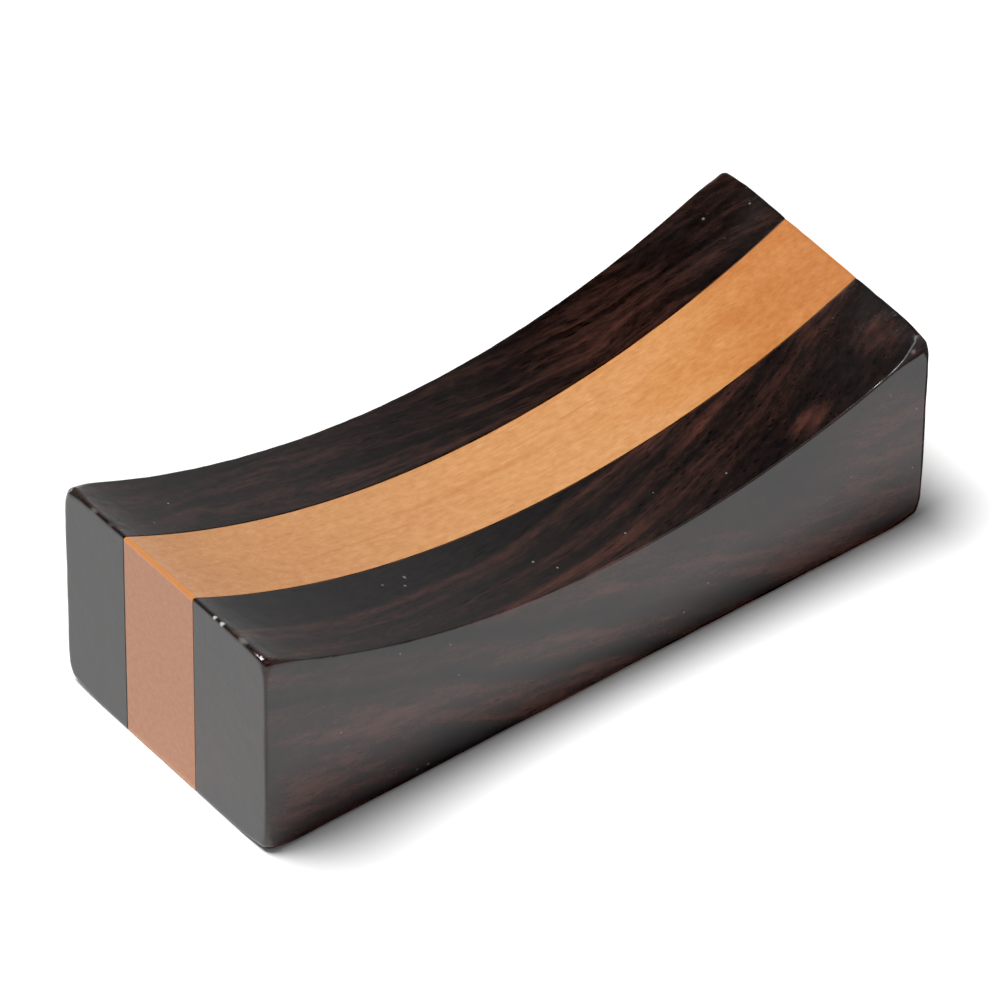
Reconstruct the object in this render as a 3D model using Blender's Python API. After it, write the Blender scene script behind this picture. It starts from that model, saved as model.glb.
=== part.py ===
"""A laminated hardwood rest for chopsticks or cutlery.

Three strips of wood run the length of the block, dark rosewood on both sides of a maple core, with a thin
film of cured glue between neighbours. One circular arc hollows the top of all three strips, so that both
ends stand high and the middle is low.

The frame: metres, +X along the grain, +Y across the strips from front to back, +Z up. The origin is the
middle of the underside.
"""

import math

import bmesh
import bpy
from mathutils import Vector

LENGTH = 0.050
WIDTH = 0.0197
NEAR_HEIGHT = 0.0153  # at the -X end, which is left a little taller
FAR_HEIGHT = 0.0147
SAG = 0.0059  # depth of the hollow below a straight line between the two ends
FRONT_STRIP = 0.00695  # widths across the block; the back strip takes what is left
CORE_STRIP = 0.0068
GLUE_FILM = 0.0001
GLUE_CLEARANCE = 0.0001  # left on each side of a film
TOP_EASING = 0.0004  # radius of the sanded edges
BASE_EASING = 0.0008
ARC_STEPS = 48
EASING_STEPS = 3
TOUCH = 1e-6  # how near a point has to be to count as lying on a plane

FRONT_GLUE_Y = -WIDTH / 2 + FRONT_STRIP
BACK_GLUE_Y = FRONT_GLUE_Y + CORE_STRIP
HALF_FILM = GLUE_FILM / 2
HALF_JOINT = HALF_FILM + GLUE_CLEARANCE

ROSEWOOD = {"colour": (0.050, 0.032, 0.028), "roughness": 0.30}
MAPLE = {"colour": (0.640, 0.360, 0.160), "roughness": 0.32}
GLUE = {"colour": (0.060, 0.026, 0.012), "roughness": 0.45}

# Each layer lies between two Y planes.
LAYERS = {
    "front_rosewood_strip": (-WIDTH / 2, FRONT_GLUE_Y - HALF_JOINT, ROSEWOOD),
    "front_glue_line": (FRONT_GLUE_Y - HALF_FILM, FRONT_GLUE_Y + HALF_FILM, GLUE),
    "maple_core": (FRONT_GLUE_Y + HALF_JOINT, BACK_GLUE_Y - HALF_JOINT, MAPLE),
    "back_glue_line": (BACK_GLUE_Y - HALF_FILM, BACK_GLUE_Y + HALF_FILM, GLUE),
    "back_rosewood_strip": (BACK_GLUE_Y + HALF_JOINT, WIDTH / 2, ROSEWOOD),
}


def clear_scene():
    for thing in list(bpy.data.objects):
        bpy.data.objects.remove(thing)


def hollow_height(x):
    """Height of the top at x: an arc that is SAG below the line between the ends in its middle."""
    radius = LENGTH**2 / (8 * SAG) + SAG / 2
    depth = SAG - radius + math.sqrt(radius**2 - x**2)
    line = (NEAR_HEIGHT + FAR_HEIGHT) / 2 + (FAR_HEIGHT - NEAR_HEIGHT) * x / LENGTH
    return line - depth


def side_outline():
    """The block seen from the front, anticlockwise: the straight base, then the arc from right to left."""
    base = [(-LENGTH / 2, 0.0), (LENGTH / 2, 0.0)]
    xs = [LENGTH * (0.5 - step / ARC_STEPS) for step in range(ARC_STEPS + 1)]
    return base + [(x, hollow_height(x)) for x in xs]


def whole_block():
    """The glued-up block as one bmesh: the outline drawn out across the width, its edges eased."""
    mesh = bmesh.new()
    corners = [mesh.verts.new((x, -WIDTH / 2, z)) for x, z in side_outline()]
    front = mesh.faces.new(corners)
    swept = bmesh.ops.extrude_face_region(mesh, geom=[front])["geom"]
    back_corners = [item for item in swept if isinstance(item, bmesh.types.BMVert)]
    bmesh.ops.translate(mesh, verts=back_corners, vec=(0.0, WIDTH, 0.0))
    bmesh.ops.recalc_face_normals(mesh, faces=mesh.faces)
    for radius, on_base in ((TOP_EASING, False), (BASE_EASING, True)):
        ease_edges(mesh, radius, on_base)
    return mesh


def ease_edges(mesh, radius, on_base):
    """Rounds the sharp edges of the base, or all the other sharp edges."""
    sharp = [
        edge
        for edge in mesh.edges
        if edge.calc_face_angle() > math.radians(60)
        and on_base == all(abs(vert.co.z) < TOUCH for vert in edge.verts)
    ]
    bmesh.ops.bevel(
        mesh,
        geom=sharp,
        offset=radius,
        offset_type="OFFSET",
        segments=EASING_STEPS,
        profile=0.5,
        affect="EDGES",
    )


def cut_away(mesh, y, outward):
    """Removes what lies beyond the plane at y, on the side that outward points to, and closes the cut."""
    kept = bmesh.ops.bisect_plane(
        mesh,
        geom=list(mesh.verts) + list(mesh.edges) + list(mesh.faces),
        plane_co=(0.0, y, 0.0),
        plane_no=(0.0, outward, 0.0),
        clear_outer=True,
    )
    rim = [item for item in kept["geom_cut"] if isinstance(item, bmesh.types.BMEdge)]
    if rim:
        bmesh.ops.contextual_create(mesh, geom=rim)


def wood_or_glue(name, colour, roughness):
    material = bpy.data.materials.new(name)
    material.use_nodes = True
    shader = material.node_tree.nodes["Principled BSDF"]
    shader.inputs["Base Color"].default_value = (*colour, 1.0)
    shader.inputs["Roughness"].default_value = roughness
    shader.inputs["Metallic"].default_value = 0.0
    return material


def add_layer(name, low_y, high_y, finish, block, parent):
    """One strip or film, cut from a copy of the whole block, with its origin at its own middle."""
    mesh = block.copy()
    cut_away(mesh, low_y, -1.0)
    cut_away(mesh, high_y, 1.0)
    middle = Vector((0.0, (low_y + high_y) / 2, 0.0))
    bmesh.ops.translate(mesh, verts=mesh.verts, vec=-middle)
    bmesh.ops.recalc_face_normals(mesh, faces=mesh.faces)
    data = bpy.data.meshes.new(name)
    mesh.to_mesh(data)
    mesh.free()
    data.shade_smooth()
    data.set_sharp_from_angle(angle=math.radians(35))
    data.materials.append(wood_or_glue(name, **finish))
    layer = bpy.data.objects.new(name, data)
    bpy.context.collection.objects.link(layer)
    layer.parent = parent
    layer.location = middle
    return layer


def main():
    clear_scene()
    rest = bpy.data.objects.new("chopstick_rest", None)
    bpy.context.collection.objects.link(rest)
    block = whole_block()
    for name, (low_y, high_y, finish) in LAYERS.items():
        add_layer(name, low_y, high_y, finish, block, rest)
    block.free()


main()
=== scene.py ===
"""The looks of the laminated chopstick rest: its lacquered strips, the floor, the light and the camera.

Lengths are in metres, in the CAD model's frame: +X along the grain, +Y from the front strip to the back
strip, +Z up. Inside the materials the same coordinates are used in millimetres.
"""

import math

import bpy
import numpy as np
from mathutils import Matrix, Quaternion, Vector, noise


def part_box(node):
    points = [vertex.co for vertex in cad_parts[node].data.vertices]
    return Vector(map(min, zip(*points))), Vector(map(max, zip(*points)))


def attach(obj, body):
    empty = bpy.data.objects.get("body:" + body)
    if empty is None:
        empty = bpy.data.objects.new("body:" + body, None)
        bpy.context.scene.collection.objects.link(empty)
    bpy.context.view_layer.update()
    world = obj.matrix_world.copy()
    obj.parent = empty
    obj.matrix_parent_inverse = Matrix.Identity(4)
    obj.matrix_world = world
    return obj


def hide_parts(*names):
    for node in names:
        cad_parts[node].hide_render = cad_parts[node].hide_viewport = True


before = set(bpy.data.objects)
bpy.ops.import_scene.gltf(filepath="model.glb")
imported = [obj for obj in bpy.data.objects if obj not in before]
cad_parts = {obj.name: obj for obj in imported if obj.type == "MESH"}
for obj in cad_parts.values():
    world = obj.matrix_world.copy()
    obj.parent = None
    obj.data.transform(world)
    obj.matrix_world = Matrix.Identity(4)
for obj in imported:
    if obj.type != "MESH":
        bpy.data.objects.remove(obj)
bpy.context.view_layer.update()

MM = 0.001

# The block, as the CAD model has it, and how far hand sanding took its edges down.
NEAR_HEIGHT = 15.3 * MM
FAR_HEIGHT = 14.7 * MM
SAG = 5.9 * MM
TOP_EASING = 0.045 * MM
UPRIGHT_EASING = 0.15 * MM
BASE_EASING = 0.20 * MM
NEAR_TOP_EASING = 0.20 * MM  # added to the top's easing at the near end
BASE_CORNER_EASING = 0.60 * MM  # added at the base's corners
TOP_CORNER_EASING = 0.42 * MM  # added at the top's corners
WORN_CORNER_EASING = 0.12 * MM  # added again at the top's far front corner
LEAST_EASING = 0.03 * MM
BASE_REACH = 1.0 * MM  # how far from the base, the top, the near end and a corner their easings hold
TOP_REACH = 0.8 * MM
NEAR_END_REACH = 0.8 * MM
CORNER_REACH = 1.0 * MM
ARRIS_REACH = 0.8  # how far an arris reaches from its edge, as a share of the easing there
END_GRAIN_REACH = 0.1 * MM
FAR_SLANT = 0.75 * MM  # how far the top falls from back to front at the far end

# Unevenness that handwork left, each with the size of its features.
EASING_WAVER = 0.30  # how much an easing varies along an edge, as a share
WAVER_SIZE = 2.6 * MM
UNDULATION = 0.015 * MM
UNDULATION_SIZE = 8 * MM
CHIP_DEPTH = 0.05 * MM
CHIP_SIZE = 0.9 * MM

# The grid that the strips are made on, finer near the eased edges.
EASE_BAND = 1.4 * MM
EASE_POINTS = 11
EASE_CROWDING = 1.6
STEP_ALONG = 0.30 * MM
STEP_ACROSS = 0.22 * MM
STEP_UP = 0.35 * MM
SHARP_ANGLE = math.radians(40)  # faces that meet at more than this are shaded with an edge between them

GLUE_WIDTH = 0.11 * MM  # from wood to wood
GLUE_RECESS = 0.02 * MM
FILM_CLEARANCE = 0.004 * MM

FLOOR_HALF = 20.0
FLOOR_DROP = 0.02 * MM  # how far the floor lies below the base, so that the two faces don't coincide

# The camera, where it stands for the picture.
CAMERA_AZIMUTH = math.radians(-38.6)
CAMERA_ELEVATION = math.radians(41.1)
CAMERA_ROLL = 0.014  # radians
CAMERA_DISTANCE = 0.53
CAMERA_LENS = 318.0  # millimetres

LIGHT_FROM = Vector((-0.22, 0.20, 0.96))
LIGHT_STRENGTH = 4.1
LIGHT_SPREAD = math.radians(27)
BLACK_POINT = 0.017

# The brightness of the room by height, from 0 along the floor to 1 straight overhead.
ROOM_GREYS = [
    (0.000, 1.10),
    (0.008, 1.05),
    (0.040, 0.60),
    (0.100, 0.42),
    (0.470, 0.40),
    (0.700, 0.22),
    (0.800, 0.08),
    (1.000, 0.04),
]

VARNISH_IOR = 1.55  # of the lacquer and of the cured glue

# Where the front top edge is worn dull, in millimetres: from nothing to fully.
WORN_ALONG = (-8.0, 8.0)
WORN_ACROSS = (-8.8, -9.3)

# Colours that lie over a wood's own.
PORE = (0.004, 0.003, 0.003)
DUST = (0.450, 0.430, 0.400)
# The pale of chips and scuffs, also used for painted glints on the edges.
CHIP_AND_GLINT = (0.500, 0.490, 0.470)
MAPLE_STREAK = (0.400, 0.150, 0.050)
MAPLE_END = (0.365, 0.136, 0.049)
MAPLE_ARRIS = (0.580, 0.225, 0.060)


def block_box():
    """Lowest and highest corner of the block, from the CAD nodes."""
    corners = [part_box(node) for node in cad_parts]
    low = np.min([box[0] for box in corners], axis=0)
    high = np.max([box[1] for box in corners], axis=0)
    return low, high


LOW, HIGH = block_box()
LENGTH = HIGH[0] - LOW[0]
MEAN_HEIGHT = (NEAR_HEIGHT + FAR_HEIGHT) / 2

# The straight block, as low all along as the block is where it is lowest. The strips are made on it.
STRAIGHT_HEIGHT = MEAN_HEIGHT - SAG
STRAIGHT_LOW = np.array([LOW[0], LOW[1], 0.0])
STRAIGHT_HIGH = np.array([HIGH[0], HIGH[1], STRAIGHT_HEIGHT])


def top_height(x, y):
    """Height of the hollowed top: the CAD model's arc, less the slant at its far end."""
    radius = LENGTH**2 / (8 * SAG) + SAG / 2
    depth = SAG - radius + np.sqrt(radius**2 - x**2)
    line = MEAN_HEIGHT + (FAR_HEIGHT - NEAR_HEIGHT) * x / LENGTH
    farness = np.maximum(x / HIGH[0], 0) ** 2
    frontness = (HIGH[1] - y) / (HIGH[1] - LOW[1])
    return line - depth - FAR_SLANT * farness * frontness


def wander(points, size, seed):
    """Smooth noise from about -1 to 1 at each point, with features about that size."""
    shift = Vector((seed * 7.3, seed * 3.1, seed * 5.7))
    return np.array([noise.noise(Vector(point) / size + shift) for point in points])


def closeness(squared_distance, reach):
    """1 at no distance, falling smoothly to 0 beyond about three times the reach."""
    return np.exp(-squared_distance / (2 * reach**2))


def face_distances(points):
    """How far each point of the straight block is from its nearest end, side, and top or base."""
    return np.minimum(points - STRAIGHT_LOW, STRAIGHT_HIGH - points)


def easing_radius(points):
    """How far the edges are rounded near each point of the straight block."""
    at_base = closeness(points[:, 2] ** 2, BASE_REACH)
    at_top = closeness((STRAIGHT_HEIGHT - points[:, 2]) ** 2, TOP_REACH)
    at_near_end = closeness((points[:, 0] - LOW[0]) ** 2, NEAR_END_REACH)
    at_corner = closeness(np.sum(face_distances(points) ** 2, axis=1), CORNER_REACH)
    at_worn_corner = at_corner * (points[:, 0] > 0) * (points[:, 1] < 0)
    top_radius = TOP_EASING + NEAR_TOP_EASING * at_near_end
    top_radius += TOP_CORNER_EASING * at_corner + WORN_CORNER_EASING * at_worn_corner
    base_radius = BASE_EASING + BASE_CORNER_EASING * at_corner
    radius = UPRIGHT_EASING * (1 - at_base - at_top) + base_radius * at_base + top_radius * at_top
    radius *= 1 + EASING_WAVER * wander(points, WAVER_SIZE, 1)
    return np.clip(radius, LEAST_EASING, 0.95 * EASE_BAND)


def unevenness(points):
    """How far the wood stands out: slight undulation, less chips along the edges. The base has none."""
    off_base = np.clip(points[:, 2] / MM, 0, 1)
    undulation = UNDULATION * wander(points, UNDULATION_SIZE, 2)
    chips = CHIP_DEPTH * arris_closeness(points) * np.maximum(wander(points, CHIP_SIZE, 3), 0)
    return off_base * (undulation - chips)


def eased(points, sunk):
    """Points of the straight block moved to where its edges are rounded.

    Inner points follow the outer ones, so that a glued face keeps its plane. sunk is how far below the
    wood's surface the outer points lie.
    """
    radius = easing_radius(points)[:, None]
    inner = np.clip(points, STRAIGHT_LOW + radius, STRAIGHT_HIGH - radius)
    outward = (points - inner) / radius
    reach = np.max(np.abs(outward), axis=1, keepdims=True)
    length = np.maximum(np.linalg.norm(outward, axis=1, keepdims=True), 1e-12)
    relief = unevenness(points)[:, None] - sunk
    return inner + outward / length * reach * (radius + relief)


def hollowed(points):
    """Points of the straight block raised so that its top follows the hollowed one.

    Points within EASE_BAND of the top all rise alike, and points within it of the base stay where they
    are, so that the edges keep their shape.
    """
    x, y = np.clip(points[:, :2], LOW[:2], HIGH[:2]).T
    share = np.clip((points[:, 2] - EASE_BAND) / (STRAIGHT_HEIGHT - 2 * EASE_BAND), 0, 1)
    raised = points.copy()
    raised[:, 2] += share * (top_height(x, y) - STRAIGHT_HEIGHT)
    return raised


def arris_closeness(points):
    """1 on the block's edges, falling to 0 a little way off."""
    nearest = np.sort(face_distances(points), axis=1)
    return closeness(nearest[:, 1] ** 2, ARRIS_REACH * easing_radius(points))


def add_attribute(data, name, values):
    """A number for each point of a mesh, for its material to read."""
    attribute = data.attributes.new(name, "FLOAT", "POINT")
    attribute.data.foreach_set("value", values.astype(np.float32))


def spaced(low, high, step, eased_low, eased_high):
    """Grid lines from low to high, a step apart, and closer towards an eased end."""
    band = EASE_BAND * (np.arange(EASE_POINTS) / EASE_POINTS) ** EASE_CROWDING
    start = low + (band if eased_low else band[:1])
    end = high - (band[::-1] if eased_high else band[:1])
    first = low + (EASE_BAND if eased_low else step)
    last = high - (EASE_BAND if eased_high else step)
    middle = np.linspace(first, last, max(2, round((last - first) / step)))
    return np.concatenate([start, middle, end])


def box_lattice(xs, ys, zs):
    """The surface of a box on those grid lines: its points, and its quads facing out."""
    shape = (len(xs), len(ys), len(zs))
    places = np.stack(np.meshgrid(xs, ys, zs, indexing="ij"), axis=-1)
    outer = np.ones(shape, bool)
    outer[1:-1, 1:-1, 1:-1] = False
    index = np.full(shape, -1)
    index[outer] = np.arange(outer.sum())
    quads = []
    for axis in range(3):
        for side in (0, -1):
            sheet = np.take(index, side, axis=axis)
            a, b, c, d = sheet[:-1, :-1], sheet[1:, :-1], sheet[1:, 1:], sheet[:-1, 1:]
            turned = (side == 0) != (axis == 1)
            ring = (a, d, c, b) if turned else (a, b, c, d)
            quads.append(np.stack(ring, axis=-1).reshape(-1, 4))
    return places[outer], np.concatenate(quads)


def add_layer(name, y_low, y_high, sunk=0.0):
    """One strip or film of the block between two Y planes, as a mesh object."""
    xs = spaced(LOW[0], HIGH[0], STEP_ALONG, True, True)
    ys = np.array([y_low, y_high])
    if y_high - y_low > EASE_BAND:
        ys = spaced(y_low, y_high, STEP_ACROSS, y_low == LOW[1], y_high == HIGH[1])
    zs = spaced(0.0, STRAIGHT_HEIGHT, STEP_UP, True, True)
    points, quads = box_lattice(xs, ys, zs)
    data = bpy.data.meshes.new(name)
    data.from_pydata(hollowed(eased(points, sunk)).tolist(), [], quads.tolist())
    add_attribute(data, "arris", arris_closeness(points))
    add_attribute(data, "end_grain", closeness(face_distances(points)[:, 0] ** 2, END_GRAIN_REACH))
    data.shade_smooth()
    data.set_sharp_from_angle(angle=SHARP_ANGLE)
    layer = bpy.data.objects.new(name, data)
    bpy.context.scene.collection.objects.link(layer)
    return layer


def fill_ramp(node, stops):
    """Give a colour ramp its (position, colour) stops."""
    elements = node.color_ramp.elements
    while len(elements) < len(stops):
        elements.new(0.5)
    for element, (at, _) in zip(elements, stops):
        element.position = at
    for element, (_, colour) in zip(elements, stops):
        element.color = (*colour, 1.0)


class Shading:
    """A material's node tree, with a short call for each kind of node."""

    def __init__(self, name):
        self.material = bpy.data.materials.new(name)
        self.material.use_nodes = True
        self.tree = self.material.node_tree
        self.surface = self.tree.nodes["Principled BSDF"]

    def node(self, kind, inputs=(), **settings):
        """A new node. Each of its inputs is linked to a socket or set to a value."""
        made = self.tree.nodes.new(kind)
        for setting, value in settings.items():
            setattr(made, setting, value)
        for place, value in dict(inputs).items():
            if isinstance(value, bpy.types.NodeSocket):
                self.tree.links.new(value, made.inputs[place])
            else:
                made.inputs[place].default_value = value
        return made

    def set_surface(self, **values):
        """Link or set inputs of the shader, named with _ for a space."""
        for name, value in values.items():
            socket = self.surface.inputs[name.replace("_", " ")]
            if isinstance(value, bpy.types.NodeSocket):
                self.tree.links.new(value, socket)
            else:
                socket.default_value = value

    def position(self):
        """The place on the object, in millimetres."""
        place = self.node("ShaderNodeTexCoord").outputs["Object"]
        return self.node("ShaderNodeVectorMath", {0: place, 3: 1000.0}, operation="SCALE").outputs[0]

    def attribute(self, name):
        return self.node("ShaderNodeAttribute", attribute_name=name).outputs["Fac"]

    def math(self, operation, first, second=0.0, third=0.0):
        inputs = {0: first, 1: second, 2: third}
        return self.node("ShaderNodeMath", inputs, operation=operation).outputs[0]

    def stretched(self, vector, along, across, up, shift):
        """A place scaled along each axis, and shifted so that patterns made from it don't coincide."""
        inputs = {0: vector, 1: (along, across, up), 2: (shift, 2.3 * shift, 3.7 * shift)}
        return self.node("ShaderNodeVectorMath", inputs, operation="MULTIPLY_ADD").outputs[0]

    def noise(self, vector, detail, roughness=0.5):
        inputs = {"Vector": vector, "Scale": 1.0, "Detail": detail, "Roughness": roughness}
        return self.node("ShaderNodeTexNoise", inputs).outputs["Fac"]

    def between(self, value, low, high, to_low=0.0, to_high=1.0):
        """value from low to high, mapped smoothly to to_low to to_high and held there beyond."""
        inputs = {"Value": value, "From Min": low, "From Max": high, "To Min": to_low, "To Max": to_high}
        made = self.node("ShaderNodeMapRange", inputs, interpolation_type="SMOOTHSTEP")
        return made.outputs["Result"]

    def profile(self, value, stops):
        """An amount read from (value, amount) stops, with straight runs between them."""
        first, last = stops[0][0], stops[-1][0]
        inputs = {"Value": value, "From Min": first, "From Max": last}
        share = self.node("ShaderNodeMapRange", inputs).outputs["Result"]
        return self.ramp(share, [((at - first) / (last - first), (grey,) * 3) for at, grey in stops])

    def ramp(self, value, stops):
        """A colour read from (position, colour) stops."""
        made = self.node("ShaderNodeValToRGB", {"Fac": value})
        fill_ramp(made, stops)
        return made.outputs["Color"]

    def mix(self, share, first, second, blend="MIX"):
        """The second colour laid over the first, as much as share says."""
        made = self.node("ShaderNodeMix", data_type="RGBA", blend_type=blend)
        sockets = [socket for socket in made.inputs if socket.enabled]
        for socket, value in zip(sockets, (share, first, second)):
            if isinstance(value, bpy.types.NodeSocket):
                self.tree.links.new(value, socket)
            else:
                socket.default_value = value if isinstance(value, float) else (*value, 1.0)
        return next(socket for socket in made.outputs if socket.enabled)

    def bump(self, height, distance):
        inputs = {"Height": height, "Distance": distance, "Strength": 1.0}
        return self.node("ShaderNodeBump", inputs).outputs["Normal"]


def grain_space(shading, layer_normal, seed, waver):
    """The place, the depth through the growth layers, and coordinates that follow the layers.

    Those have X along the grain, Y through the layers and Z within one. All are in millimetres.
    """
    place = shading.position()
    slow = shading.noise(shading.stretched(place, 0.05, 0.10, 0.10, seed), 1.0)
    quick = shading.noise(shading.stretched(place, 0.16, 0.35, 0.35, seed + 4), 1.0)
    through = shading.node("ShaderNodeVectorMath", {0: place, 1: layer_normal}, operation="DOT_PRODUCT")
    layer = through.outputs["Value"]
    layer = shading.math("MULTIPLY_ADD", shading.math("SUBTRACT", slow, 0.5), waver, layer)
    layer = shading.math("MULTIPLY_ADD", shading.math("SUBTRACT", quick, 0.5), 0.28 * waver, layer)
    parts = shading.node("ShaderNodeSeparateXYZ", {0: place}).outputs
    within = shading.math("MULTIPLY_ADD", parts["Y"], 0.5, parts["Z"])
    joined = shading.node("ShaderNodeCombineXYZ", {0: parts["X"], 1: layer, 2: within})
    return place, layer, joined.outputs[0]


def pores(shading, grain, along, across, size, kept):
    """Short dark pores that run with the grain: 1 inside one and 0 outside."""
    stretched = shading.stretched(grain, along, across, across, 1.7)
    cells = shading.node("ShaderNodeTexVoronoi", {"Vector": stretched, "Scale": 1.0})
    inside = shading.between(cells.outputs["Distance"], size, 0.5 * size)
    parts = shading.node("ShaderNodeSeparateColor", {0: cells.outputs["Color"]}).outputs
    chosen = shading.math("LESS_THAN", parts["Red"], kept)
    return shading.math("MULTIPLY", inside, chosen)


def specks(shading, place, per_mm, size, kept):
    """Small round specks scattered over the surface: 1 inside one and 0 outside."""
    cells = shading.node("ShaderNodeTexVoronoi", {"Vector": place, "Scale": per_mm})
    parts = shading.node("ShaderNodeSeparateColor", {0: cells.outputs["Color"]}).outputs
    inside = shading.between(cells.outputs["Distance"], size, 0.4 * size)
    return shading.math("MULTIPLY", inside, shading.math("LESS_THAN", parts["Green"], kept))


def patch(shading, place, centre, size):
    """A soft blot on the wood, 1 at its centre and 0 at its rim. centre and size are in millimetres."""
    offset = shading.node("ShaderNodeVectorMath", {0: place, 1: centre}, operation="SUBTRACT").outputs[0]
    scaled = shading.node("ShaderNodeVectorMath", {0: offset, 1: size}, operation="DIVIDE").outputs[0]
    distance = shading.node("ShaderNodeVectorMath", {0: scaled}, operation="LENGTH").outputs["Value"]
    return shading.between(distance, 1.0, 0.2)


def figured(shading, place, layer, figure):
    """The figure's brown, stronger on upright faces and most of all low down on them."""
    height = shading.node("ShaderNodeSeparateXYZ", {0: place}).outputs["Z"]
    normal = shading.node("ShaderNodeTexCoord").outputs["Normal"]
    facing_up = shading.node("ShaderNodeSeparateXYZ", {0: normal}).outputs["Z"]
    upright = shading.between(facing_up, 0.8, 0.2)
    added = shading.math("MULTIPLY", upright, shading.between(height, 9.0, 3.0, 0.10, 0.30))
    return shading.math("MULTIPLY", shading.math("ADD", added, 0.5), shading.profile(layer, figure))


def streaked(shading, tone, grain, fibres, seed):
    """A tone broken up by streaks, mottle and fibres, blacker on end grain and browner along edges."""
    streaks = shading.noise(shading.stretched(grain, 0.10, 2.2, 0.8, seed + 1), 2.0, 0.5)
    mottle = shading.noise(shading.stretched(grain, 0.9, 2.6, 2.2, seed + 6), 3.0, 0.65)
    tone = shading.math("MULTIPLY", tone, shading.between(streaks, 0.27, 0.73, 0.6, 1.4))
    tone = shading.math("MULTIPLY_ADD", shading.math("SUBTRACT", mottle, 0.5), 0.75, tone)
    tone = shading.math("MULTIPLY_ADD", shading.math("SUBTRACT", fibres, 0.5), 0.50, tone)
    side_grain = shading.math("MULTIPLY_ADD", shading.attribute("end_grain"), -0.8, 1.0)
    tone = shading.math("MULTIPLY", tone, side_grain)
    return shading.math("MULTIPLY_ADD", shading.attribute("arris"), 0.30, tone)


def chips_and_glints(shading, place, nicks_and_glints):
    """How pale the chips are at each place, partly painted glints: the tiny ones scattered along the
    edges, and the nicks.
    """
    scattered = specks(shading, place, per_mm=2.4, size=0.25, kept=0.12)
    paleness = shading.math("MULTIPLY", scattered, shading.attribute("arris"))
    for centre, size, amount in nicks_and_glints:
        spot = shading.math("MULTIPLY", patch(shading, place, centre, size), amount)
        paleness = shading.math("MAXIMUM", paleness, spot)
    return paleness


def rosewood(name, layer_normal, seed, waver, tones, figure, patches, nicks_and_glints):
    """Near-black rosewood, browner towards the base.

    tones are its colours, from the blackest to the reddest. figure is the red-brown through the growth
    layers, as (millimetres, amount) stops. patches are blots of it, as (centre, size, amount). nicks are
    pale chips and scuffs, partly painted glints where the edges catch the light, as (centre, size,
    amount).
    """
    shading = Shading(name)
    place, layer, grain = grain_space(shading, layer_normal, seed, waver)
    broad = shading.noise(shading.stretched(grain, 0.045, 0.50, 0.20, seed), 3.0, 0.55)
    fibres = shading.noise(shading.stretched(grain, 0.70, 9.0, 9.0, seed + 2), 3.0, 0.7)
    tone = figured(shading, place, layer, figure)
    tone = shading.math("MULTIPLY", tone, shading.between(broad, 0.25, 0.75, 0.7, 1.3))
    for centre, size, amount in patches:
        tone = shading.math("MULTIPLY_ADD", patch(shading, place, centre, size), amount, tone)
    tone = streaked(shading, tone, grain, fibres, seed)
    colour = shading.ramp(tone, list(zip((0.0, 0.3, 0.6, 1.0), tones)))
    open_pores = pores(shading, grain, along=0.30, across=4.0, size=0.32, kept=0.45)
    colour = shading.mix(shading.math("MULTIPLY", open_pores, 0.5), colour, PORE)
    dust = specks(shading, place, per_mm=0.60, size=0.055, kept=0.17)
    colour = shading.mix(shading.math("MULTIPLY", dust, 0.40), colour, DUST)
    # Pale chips, and painted glints where the edges catch the light.
    colour = shading.mix(chips_and_glints(shading, place, nicks_and_glints), colour, CHIP_AND_GLINT)
    relief = shading.math("MULTIPLY_ADD", fibres, 0.30, shading.math("MULTIPLY", open_pores, -0.12))
    finish(shading, place, relief, colour)
    return shading.material


def maple_shades(shading, fibres, mottle):
    """How the fibres and the mottling shade maple: its green more than its red, and its blue most."""
    red = shading.math("MULTIPLY_ADD", fibres, 0.30, 0.85)
    red = shading.math("MULTIPLY", red, shading.math("MULTIPLY_ADD", mottle, 0.40, 0.80))
    green = shading.math("POWER", red, 1.5)
    blue = shading.math("POWER", red, 2.2)
    return shading.node("ShaderNodeCombineColor", {0: red, 1: green, 2: blue}).outputs[0]


def maple(name):
    """Honey-coloured maple: pale, close-grained, deeper at its far end and darkest on its end grain."""
    tones = [
        (0.00, (0.440, 0.203, 0.083)),
        (0.35, (0.490, 0.238, 0.098)),
        (0.62, (0.520, 0.254, 0.106)),
        (0.80, (0.495, 0.224, 0.081)),
        (0.90, (0.440, 0.172, 0.057)),
    ]
    shading = Shading(name)
    place, _, grain = grain_space(shading, (-0.02, 1.0, 0.18), 9.0, 0.9)
    clouds = shading.noise(shading.stretched(place, 0.09, 0.30, 0.30, 3.0), 3.0, 0.55)
    lines = shading.noise(shading.stretched(grain, 0.020, 2.2, 0.35, 5.0), 2.0, 0.5)
    fibres = shading.noise(shading.stretched(grain, 0.45, 8.0, 8.0, 6.0), 3.0, 0.65)
    mottle = shading.noise(shading.stretched(place, 1.4, 2.4, 2.4, 2.0), 3.0, 0.65)
    along = shading.node("ShaderNodeSeparateXYZ", {0: place}).outputs["X"]
    along = shading.math("MULTIPLY_ADD", shading.math("SUBTRACT", clouds, 0.5), 26.0, along)
    colour = shading.ramp(shading.math("MULTIPLY_ADD", along, 0.02, 0.5), tones)
    line = shading.between(lines, 0.62, 0.72)
    colour = shading.mix(shading.math("MULTIPLY", line, 0.30), colour, MAPLE_STREAK)
    streak = patch(shading, place, (-1.5, 0.9, 10.0), (12.0, 0.35, 4.0))
    colour = shading.mix(shading.math("MULTIPLY", streak, 0.35), colour, MAPLE_STREAK)
    colour = shading.mix(shading.attribute("end_grain"), colour, MAPLE_END)
    colour = shading.mix(1.0, colour, maple_shades(shading, fibres, mottle), "MULTIPLY")
    burnished = shading.between(shading.attribute("arris"), 0.0, 0.4, 0.0, 0.65)
    colour = shading.mix(burnished, colour, MAPLE_ARRIS)
    finish(shading, place, shading.math("MULTIPLY", fibres, 0.35), colour)
    return shading.material


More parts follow.
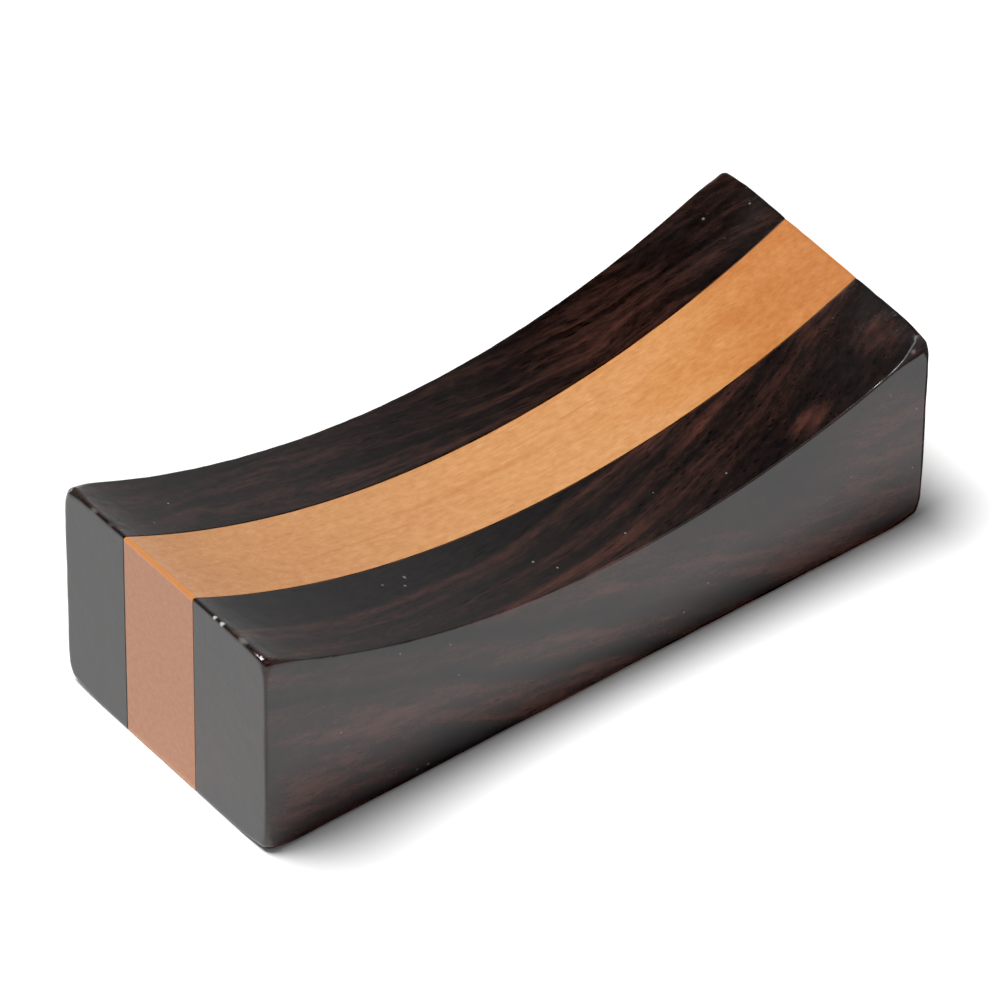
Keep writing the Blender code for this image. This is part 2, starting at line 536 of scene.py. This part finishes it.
def finish(shading, place, height, colour):
    """Clear satin lacquer, slightly rippled, that the grain shows through.

    It is worn dull along the far half of the front top edge.
    """
    ripple = shading.noise(shading.stretched(place, 0.9, 0.9, 0.9, 8.0), 2.0, 0.5)
    height = shading.math("MULTIPLY_ADD", ripple, 1.2, height)
    smears = shading.noise(shading.stretched(place, 0.20, 0.35, 0.35, 6.0), 3.0, 0.6)
    roughness = shading.between(smears, 0.3, 0.7, 0.10, 0.13)
    parts = shading.node("ShaderNodeSeparateXYZ", {0: place}).outputs
    far = shading.between(parts["X"], *WORN_ALONG)
    worn = shading.math("MULTIPLY", far, shading.between(parts["Y"], *WORN_ACROSS))
    dulled = shading.math("MULTIPLY", worn, shading.between(shading.attribute("arris"), 0.02, 0.30))
    roughness = shading.math("MULTIPLY_ADD", dulled, 0.88, roughness)
    shading.set_surface(Base_Color=colour, Roughness=roughness, Normal=shading.bump(height, 0.010 * MM))
    shading.set_surface(IOR=VARNISH_IOR)


def glue(name):
    """Cured glue: dark amber, slightly uneven where it shows between the strips."""
    shading = Shading(name)
    uneven = shading.noise(shading.stretched(shading.position(), 0.8, 1.0, 0.8, 2.0), 2.0, 0.6)
    colour = shading.ramp(uneven, [(0.35, (0.012, 0.006, 0.004)), (0.65, (0.075, 0.028, 0.012))])
    shading.set_surface(Base_Color=colour, Roughness=0.2, IOR=VARNISH_IOR)
    return shading.material


def front_rosewood():
    """Black next to the maple, then a thin red streak, then brown with a few inky lines."""
    tones = [
        (0.0120, 0.0112, 0.0117),
        (0.0195, 0.0150, 0.0138),
        (0.0400, 0.0215, 0.0190),
        (0.0800, 0.0340, 0.0270),
    ]
    figure = [
        (-23.0, 0.50),
        (-20.0, 0.35),
        (-17.0, 0.35),
        (-15.5, 0.55),
        (-14.0, 0.95),
        (-13.3, 0.90),
        (-12.6, 0.20),
        (-12.0, 0.90),
        (-11.3, 0.70),
        (-10.9, 0.20),
        (-10.4, 0.80),
        (-9.7, 0.75),
        (-9.2, 1.00),
        (-8.8, 0.15),
        (-6.0, 0.10),
        (-4.0, 0.40),
    ]
    patches = [
        ((-20.0, -9.85, 3.5), (10.0, 3.0, 6.0), 0.58),
        ((23.0, -7.0, 14.0), (2.4, 2.4, 2.4), 0.50),
        ((16.5, -8.6, 11.5), (2.6, 1.3, 2.2), 0.50),
        ((11.0, -3.6, 10.0), (4.5, 1.8, 2.0), 0.20),
        ((22.0, -9.85, 7.5), (7.0, 1.5, 6.0), 0.42),
    ]
    # Pale chips and scuffs. Those on the near end's top edge and at the far front corner are also
    # painted glints.
    nicks_and_glints = [
        ((-24.9, -4.90, 15.2), (0.24, 0.18, 0.24), 0.9),
        ((-24.9, -5.60, 15.2), (0.26, 0.22, 0.26), 0.9),
        ((-24.8, -7.50, 15.2), (0.32, 0.50, 0.32), 0.22),
        ((-24.9, -8.90, 15.2), (0.20, 0.18, 0.20), 0.3),
        ((23.8, -9.70, 13.6), (0.30, 0.30, 0.30), 0.3),
        ((-12.4, -4.50, 10.5), (0.12, 0.12, 0.50), 0.25),
        ((-11.2, -5.10, 10.4), (0.12, 0.12, 0.50), 0.30),
        ((-10.7, -4.40, 10.3), (0.12, 0.20, 0.50), 0.30),
        ((-3.1, -7.00, 9.2), (0.12, 0.12, 0.50), 0.35),
    ]
    return rosewood("rosewood_front", (-0.20, 1.0, -0.50), 0.0, 1.4, tones, figure, patches, nicks_and_glints)


def back_rosewood():
    """Browner than the front strip, in wavy bands."""
    tones = [
        (0.0085, 0.0080, 0.0080),
        (0.0150, 0.0112, 0.0105),
        (0.0340, 0.0185, 0.0160),
        (0.0700, 0.0300, 0.0235),
    ]
    figure = [
        (4.0, 0.75),
        (6.2, 0.35),
        (7.2, 0.85),
        (8.3, 0.75),
        (8.8, 0.30),
        (9.6, 0.85),
        (10.8, 0.70),
        (11.4, 0.35),
        (12.2, 0.75),
        (13.2, 0.40),
        (15.0, 0.65),
    ]
    patches = [
        ((13.0, 7.0, 11.0), (8.0, 5.0, 3.5), 0.26),
        ((-9.0, 7.0, 10.0), (8.0, 5.0, 3.0), 0.06),
    ]
    # Pale chips and scuffs, partly painted glints along the top edges.
    nicks_and_glints = [
        ((-24.9, 5.30, 15.2), (0.25, 0.30, 0.25), 0.06),
        ((-24.9, 6.90, 15.2), (0.25, 0.40, 0.25), 0.15),
        ((21.9, 8.00, 13.3), (0.13, 0.13, 0.50), 0.30),
        ((24.3, 6.50, 14.4), (0.13, 0.13, 0.50), 0.22),
    ]
    return rosewood("rosewood_back", (0.06, 1.0, 0.30), 11.0, 4.0, tones, figure, patches, nicks_and_glints)


def dress(piece, material, node):
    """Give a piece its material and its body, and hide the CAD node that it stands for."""
    piece.data.materials.append(material)
    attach(piece, "root")
    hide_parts(node)


def add_layers():
    """The three strips and the two films between them."""
    front_joint = sum(corner[1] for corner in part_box("front_glue_line")) / 2
    back_joint = sum(corner[1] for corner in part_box("back_glue_line")) / 2
    half = GLUE_WIDTH / 2
    film = half - FILM_CLEARANCE
    front = add_layer("front_rosewood", LOW[1], front_joint - half)
    core = add_layer("maple", front_joint + half, back_joint - half)
    back = add_layer("back_rosewood", back_joint + half, HIGH[1])
    front_film = add_layer("front_glue", front_joint - film, front_joint + film, GLUE_RECESS)
    back_film = add_layer("back_glue", back_joint - film, back_joint + film, GLUE_RECESS)
    cured = glue("cured_glue")
    dress(front, front_rosewood(), "front_rosewood_strip")
    dress(core, maple("maple"), "maple_core")
    dress(back, back_rosewood(), "back_rosewood_strip")
    dress(front_film, cured, "front_glue_line")
    dress(back_film, cured, "back_glue_line")


def add_floor():
    """A wide, plain, pale floor."""
    data = bpy.data.meshes.new("floor")
    corners = [(-1, -1), (1, -1), (1, 1), (-1, 1)]
    points = [(x * FLOOR_HALF, y * FLOOR_HALF, -FLOOR_DROP) for x, y in corners]
    data.from_pydata(points, [], [(0, 1, 2, 3)])
    floor = bpy.data.objects.new("floor", data)
    bpy.context.scene.collection.objects.link(floor)
    shading = Shading("pale_floor")
    shading.set_surface(Base_Color=(0.88, 0.88, 0.88, 1.0), Roughness=0.7, Specular_IOR_Level=0.2)
    data.materials.append(shading.material)


def add_light():
    """A wide soft light overhead."""
    lamp = bpy.data.lights.new("overhead", "SUN")
    lamp.energy = LIGHT_STRENGTH
    lamp.angle = LIGHT_SPREAD
    overhead = bpy.data.objects.new("overhead", lamp)
    overhead.rotation_euler = LIGHT_FROM.to_track_quat("Z", "Y").to_euler()
    bpy.context.scene.collection.objects.link(overhead)


def add_room():
    """A dim room all round, paler along the horizon."""
    world = bpy.data.worlds.new("room")
    world.use_nodes = True
    bpy.context.scene.world = world
    tree = world.node_tree
    direction = tree.nodes.new("ShaderNodeTexCoord").outputs["Generated"]
    parts = tree.nodes.new("ShaderNodeSeparateXYZ")
    tree.links.new(direction, parts.inputs[0])
    ramp = tree.nodes.new("ShaderNodeValToRGB")
    tree.links.new(parts.outputs["Z"], ramp.inputs["Fac"])
    fill_ramp(ramp, [(at, (grey,) * 3) for at, grey in ROOM_GREYS])
    tree.links.new(ramp.outputs["Color"], tree.nodes["Background"].inputs["Color"])


def add_camera():
    """A long lens from the front left and above."""
    centre = Vector((0.0, 0.0, (NEAR_HEIGHT + FAR_HEIGHT) / 4))
    flat = math.cos(CAMERA_ELEVATION)
    back = Vector(
        (
            math.sin(CAMERA_AZIMUTH) * flat,
            -math.cos(CAMERA_AZIMUTH) * flat,
            math.sin(CAMERA_ELEVATION),
        )
    )
    camera = bpy.data.objects.new("camera", bpy.data.cameras.new("camera"))
    camera.location = centre + back * CAMERA_DISTANCE
    camera.rotation_mode = "QUATERNION"
    camera.rotation_quaternion = back.to_track_quat("Z", "Y") @ Quaternion((0, 0, 1), CAMERA_ROLL)
    camera.data.lens = CAMERA_LENS
    bpy.context.scene.collection.objects.link(camera)
    bpy.context.scene.camera = camera


def set_tones():
    """Plain tones, with blacks as deep as a product photograph's."""
    view = bpy.context.scene.view_settings
    view.view_transform = "Standard"
    view.use_curve_mapping = True
    view.curve_mapping.black_level = (BLACK_POINT,) * 3


add_layers()
add_floor()
add_light()
add_room()
add_camera()
set_tones()
